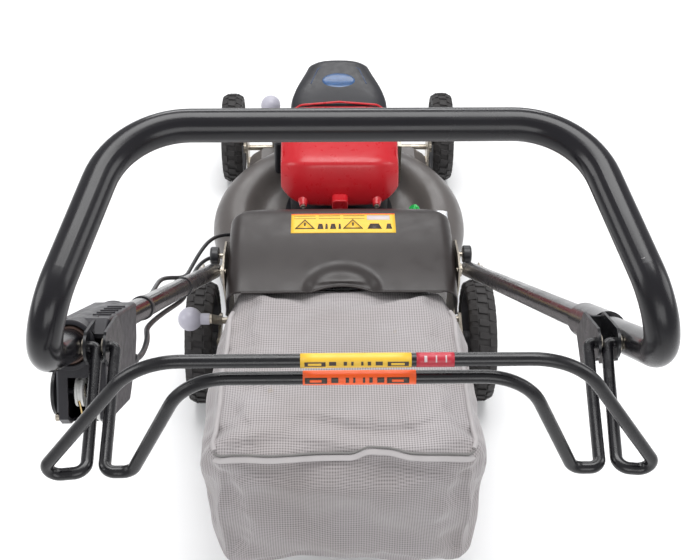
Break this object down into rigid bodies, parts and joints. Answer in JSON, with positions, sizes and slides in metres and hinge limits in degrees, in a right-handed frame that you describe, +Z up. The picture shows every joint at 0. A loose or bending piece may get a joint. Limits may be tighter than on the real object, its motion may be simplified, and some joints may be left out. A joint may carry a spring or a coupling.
{
  "type": "petrol rear-bag lawn mower",
  "caption": "Walk-behind petrol lawn mower with a black loop handle, two operator bails, red engine cowl, grey deck and a grey mesh grass bag.",
  "frame": {"origin": "centre of the footprint on the ground", "axes": "+Y forward, +X to the operator's right, +Z up"},
  "size_m": [0.548, 1.6304, 1.0805],
  "materials": {
    "handle_paint": "gloss black paint",
    "bail_coating": "satin black coating on steel rod",
    "bracket_black": "satin black pressed steel",
    "deck_paint": "satin grey-brown paint on cast aluminium",
    "cover_plastic": "satin moulded plastic",
    "chute_plastic": "moulded plastic",
    "box_plastic": "fine grained moulded plastic",
    "box_plate": "smooth grey plate",
    "cowl_red": "glossy red moulding",
    "engine_black": "satin black moulding",
    "engine_alloy": "cast",
    "zinc": "zinc plated",
    "steel": "machined",
    "blade_steel": "black heat-treated blade",
    "tyre": "blocky tread with dried dirt",
    "rim": "moulded wheel centre",
    "knob": "pale lavender-grey moulding",
    "black_knob": "black moulding",
    "cap_green": "green moulding",
    "cable": "black sheath",
    "bag": "light grey waffle mesh",
    "plate_silver": "brushed blank plate",
    "pulley_white": "white moulding",
    "case_alloy": "cast gear case"
  },
  "bodies": {
    "chassis": {"deck_shell": "deck_paint", "discharge_chute": "chute_plastic", "cover_hinge_rod": "zinc", "cover_spring": "zinc", "data_plate": "plate_silver", "front_axle_brackets": "zinc", "handle_brackets": "zinc", "bracket_bolts": "zinc", "handle_pivot_bolts": "zinc", "engine_crankcase": "engine_black", "engine_cylinder": "engine_alloy", "spark_plug_boot": "cable", "muffler": "bracket_black", "muffler_guard": "zinc", "air_filter_cover": "engine_black", "carburettor": "engine_alloy", "engine_cowl": "cowl_red", "cowl_screws": "zinc", "engine_top_cover": "engine_black", "oil_filler_neck": "engine_black", "brake_cable_lower": "cable", "drive_cable_lower": "cable"},
    "handle": {"left_lower_tube": "handle_paint", "right_lower_tube": "handle_paint", "handle_sleeves": "handle_paint", "handle_loop": "handle_paint", "bail_brackets": "bracket_black", "control_box": "box_plastic", "control_side_plate": "box_plate", "brake_cable_upper": "cable", "drive_cable_upper": "cable", "cable_ties": "black_knob"},
    "drive_bail": {"drive_bail": "bail_coating"},
    "blade_bail": {"blade_bail": "bail_coating"},
    "cable_pulley": {"cable_pulley": "pulley_white"},
    "front_height": {"front_axle_crank": "zinc", "front_height_lever": "zinc", "front_height_knob": "knob"},
    "rear_height": {"rear_axle_crank": "zinc", "rear_height_lever": "zinc", "rear_height_knob": "knob", "transmission_case": "case_alloy"},
    "rear_cover": {"rear_cover": "cover_plastic"},
    "grass_bag": {"bag_fabric": "bag", "bag_frame": "steel"},
    "blade_rotor": {"engine_crankshaft": "steel", "blade_holder": "steel", "cutting_blade": "blade_steel", "blade_bolts": "zinc"},
    "oil_cap": {"oil_cap": "cap_green"},
    "left_lock_knob": {"left_lock_knob": "black_knob"},
    "right_lock_knob": {"right_lock_knob": "black_knob"},
    "front_left_wheel": {"front_left_tyre": "tyre", "front_left_rim": "rim"},
    "front_right_wheel": {"front_right_tyre": "tyre", "front_right_rim": "rim"},
    "rear_left_wheel": {"rear_left_tyre": "tyre", "rear_left_rim": "rim"},
    "rear_right_wheel": {"rear_right_tyre": "tyre", "rear_right_rim": "rim"}
  },
  "joints": [
    {"name": "handle_fold", "type": "hinge", "parent": "chassis", "child": "handle", "pos_m": [0, 0.03225, 0.341], "axis": [1, 0, 0], "range_deg": [-115, 0]},
    {"name": "drive_bail_squeeze", "type": "hinge", "parent": "handle", "child": "drive_bail", "pos_m": [0, -0.67375, 0.918], "axis": [1, 0, 0], "range_deg": [-74, 0], "stiffness_Nm_per_rad": 1, "springref_deg": 17.19},
    {"name": "blade_bail_squeeze", "type": "hinge", "parent": "handle", "child": "blade_bail", "pos_m": [0, -0.67375, 0.918], "axis": [1, 0, 0], "range_deg": [-74, 0], "stiffness_Nm_per_rad": 1, "springref_deg": 17.19},
    {"name": "cable_pulley_turn", "type": "hinge", "parent": "handle", "child": "cable_pulley", "pos_m": [-0.2425, -0.67527, 0.86242], "axis": [1, 0, 0], "range_deg": [-100, 0]},
    {"name": "front_height_set", "type": "hinge", "parent": "chassis", "child": "front_height", "pos_m": [0, 0.67325, 0.104], "axis": [1, 0, 0], "range_deg": [-38, 0]},
    {"name": "rear_height_set", "type": "hinge", "parent": "chassis", "child": "rear_height", "pos_m": [0, 0.13825, 0.118], "axis": [1, 0, 0], "range_deg": [0, 38]},
    {"name": "rear_cover_open", "type": "hinge", "parent": "chassis", "child": "rear_cover", "pos_m": [0, 0.18925, 0.319], "axis": [1, 0, 0], "range_deg": [-75, 0], "stiffness_Nm_per_rad": 0.6, "springref_deg": 17.19},
    {"name": "grass_bag_unhook", "type": "slide", "parent": "chassis", "child": "grass_bag", "axis": [0, -1, 0], "range_m": [0, 0.25]},
    {"name": "blade_spin", "type": "hinge", "parent": "chassis", "child": "blade_rotor", "pos_m": [0, 0.39225, 0.052], "axis": [0, 0, 1], "continuous": true},
    {"name": "oil_cap_unscrew", "type": "hinge", "parent": "chassis", "child": "oil_cap", "pos_m": [0.142, 0.34825, 0.19], "axis": [0.8544, -0.0854, 0.5126], "range_deg": [0, 90]},
    {"name": "left_lock_knob_turn", "type": "hinge", "parent": "chassis", "child": "left_lock_knob", "pos_m": [-0.21, 0.08425, 0.328], "axis": [1, 0, 0], "range_deg": [0, 180]},
    {"name": "right_lock_knob_turn", "type": "hinge", "parent": "chassis", "child": "right_lock_knob", "pos_m": [0.21, 0.08425, 0.328], "axis": [1, 0, 0], "range_deg": [0, 180]},
    {"name": "front_left_wheel_spin", "type": "hinge", "parent": "front_height", "child": "front_left_wheel", "pos_m": [-0.226, 0.71925, 0.096], "axis": [1, 0, 0], "continuous": true},
    {"name": "front_right_wheel_spin", "type": "hinge", "parent": "front_height", "child": "front_right_wheel", "pos_m": [0.226, 0.71925, 0.096], "axis": [1, 0, 0], "continuous": true},
    {"name": "rear_left_wheel_spin", "type": "hinge", "parent": "rear_height", "child": "rear_left_wheel", "pos_m": [-0.246, 0.09225, 0.11], "axis": [1, 0, 0], "continuous": true},
    {"name": "rear_right_wheel_spin", "type": "hinge", "parent": "rear_height", "child": "rear_right_wheel", "pos_m": [0.246, 0.09225, 0.11], "axis": [1, 0, 0], "continuous": true}
  ],
  "couplings": [
    {"joint": "cable_pulley_turn", "follows": "drive_bail_squeeze", "ratio": 1.2}
  ]
}
